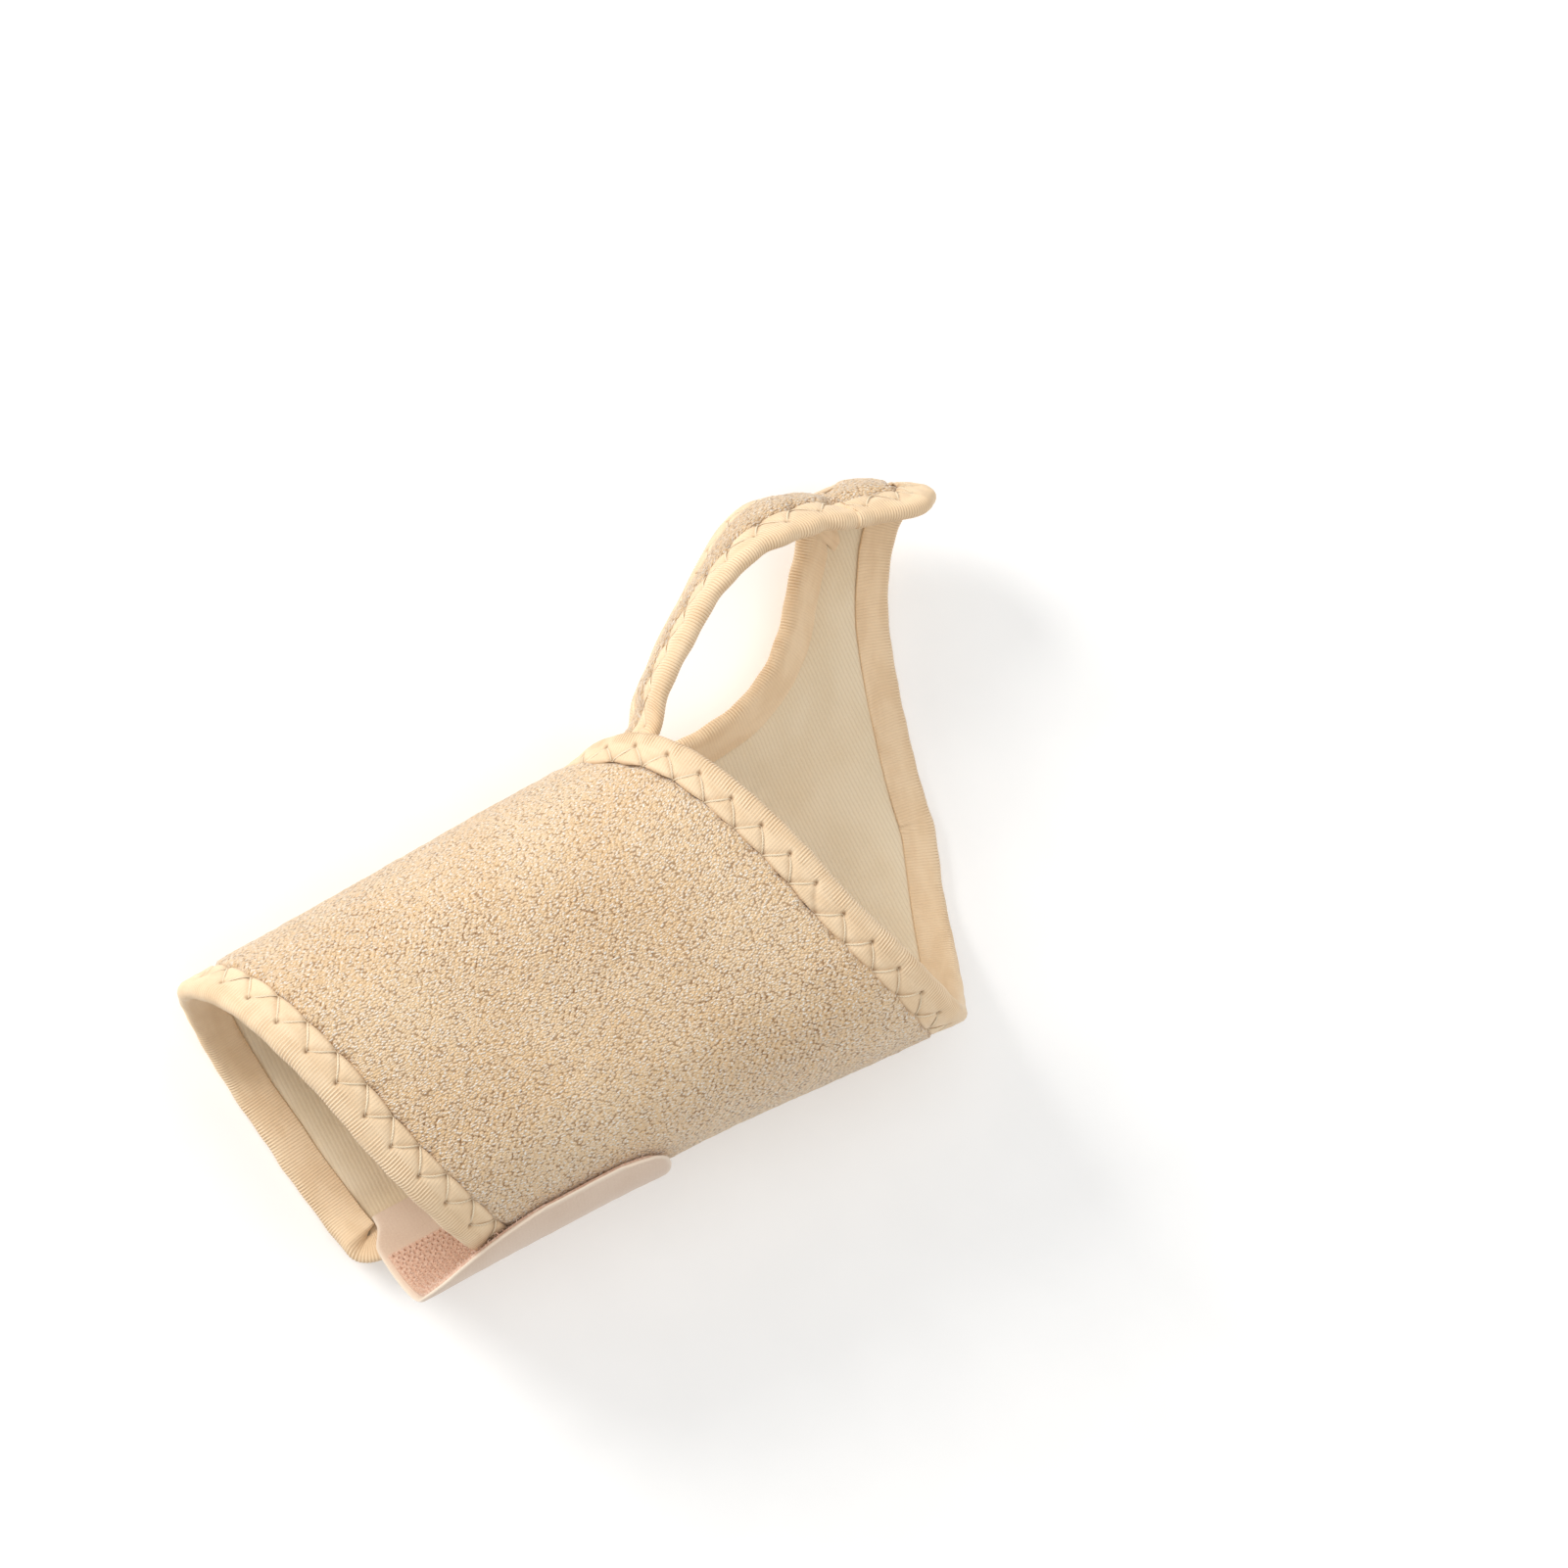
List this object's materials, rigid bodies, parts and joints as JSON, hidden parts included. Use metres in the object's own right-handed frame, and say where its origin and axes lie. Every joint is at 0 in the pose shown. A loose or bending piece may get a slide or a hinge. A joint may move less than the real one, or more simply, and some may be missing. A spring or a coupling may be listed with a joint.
{
  "type": "wrist splint",
  "caption": "Soft wrap-around wrist splint with bound edges, a thumb loop and a hook-and-loop closing tab, in its closed shape.",
  "frame": {"origin": "middle of the footprint, at the lowest point of the outer strap, which rests on the table", "axes": "+X along the arm towards the fingers, +Y towards the thumb side, +Z out of the palm"},
  "size_m": [0.1642, 0.1006, 0.0538],
  "materials": {
    "pile": "brushed loop pile, speckled beige",
    "foam": "closed-cell foam, matt",
    "lining": "smooth knit",
    "binding": "ribbed elastic edge tape",
    "thread": "twisted thread",
    "tab": "matt woven back of hook tape",
    "hooks": "fine moulded hooks"
  },
  "bodies": {
    "outer_strap": {"outer_strap_pile": "pile", "outer_strap_foam": "foam", "outer_strap_lining": "lining", "outer_strap_binding_proximal": "binding", "outer_strap_binding_distal": "binding", "outer_strap_stitching_proximal": "thread", "outer_strap_stitching_distal": "thread", "hook_tab_anchor": "tab"},
    "radial_flank": {"radial_flank_pile": "pile", "radial_flank_foam": "foam", "radial_flank_lining": "lining", "radial_flank_binding_proximal": "binding", "radial_flank_binding_distal": "binding", "radial_flank_stitching_proximal": "thread", "radial_flank_stitching_distal": "thread"},
    "cuff": {"cuff_pile": "pile", "cuff_foam": "foam", "cuff_lining": "lining", "cuff_binding_proximal": "binding", "cuff_binding_distal": "binding", "cuff_stitching_proximal": "thread", "cuff_stitching_distal": "thread", "thumb_hole_binding": "binding", "strip_end_binding_wrist": "binding", "strip_end_binding_web": "binding"},
    "thumb_loop": {"thumb_loop_pile": "pile", "thumb_loop_foam": "foam", "thumb_loop_lining": "lining", "thumb_loop_binding_palm": "binding", "thumb_loop_binding_thumb": "binding", "thumb_loop_stitching_palm": "thread", "thumb_loop_stitching_thumb": "thread"},
    "hook_tab": {"hook_tab_backing": "tab", "hook_tab_hooks": "hooks"}
  },
  "joints": [
    {"name": "radial_fold", "type": "hinge", "parent": "outer_strap", "child": "radial_flank", "pos_m": [-0.0419, 0.00996, 0.00556], "axis": [-0.9995, -0.0298, 0.0034], "range_deg": [0, 20]},
    {"name": "volar_fold", "type": "hinge", "parent": "radial_flank", "child": "cuff", "pos_m": [-0.0329, 0.01272, 0.04895], "axis": [-0.9979, -0.0639, -0.0049], "range_deg": [0, 60]},
    {"name": "tab_peel", "type": "hinge", "parent": "outer_strap", "child": "hook_tab", "pos_m": [-0.0454, -0.04012, 0.00707], "axis": [1, -0.0041, -0.0004], "range_deg": [0, 84]},
    {"name": "thumb_loop_swing", "type": "hinge", "parent": "cuff", "child": "thumb_loop", "pos_m": [0.03496, 0.03248, 0.02678], "axis": [0.9327, 0.343, -0.1116], "range_deg": [-16, 28]}
  ],
  "couplings": [
    {"joint": "volar_fold", "follows": "radial_fold", "ratio": 3},
    {"joint": "tab_peel", "follows": "radial_fold", "ratio": 4.2}
  ]
}
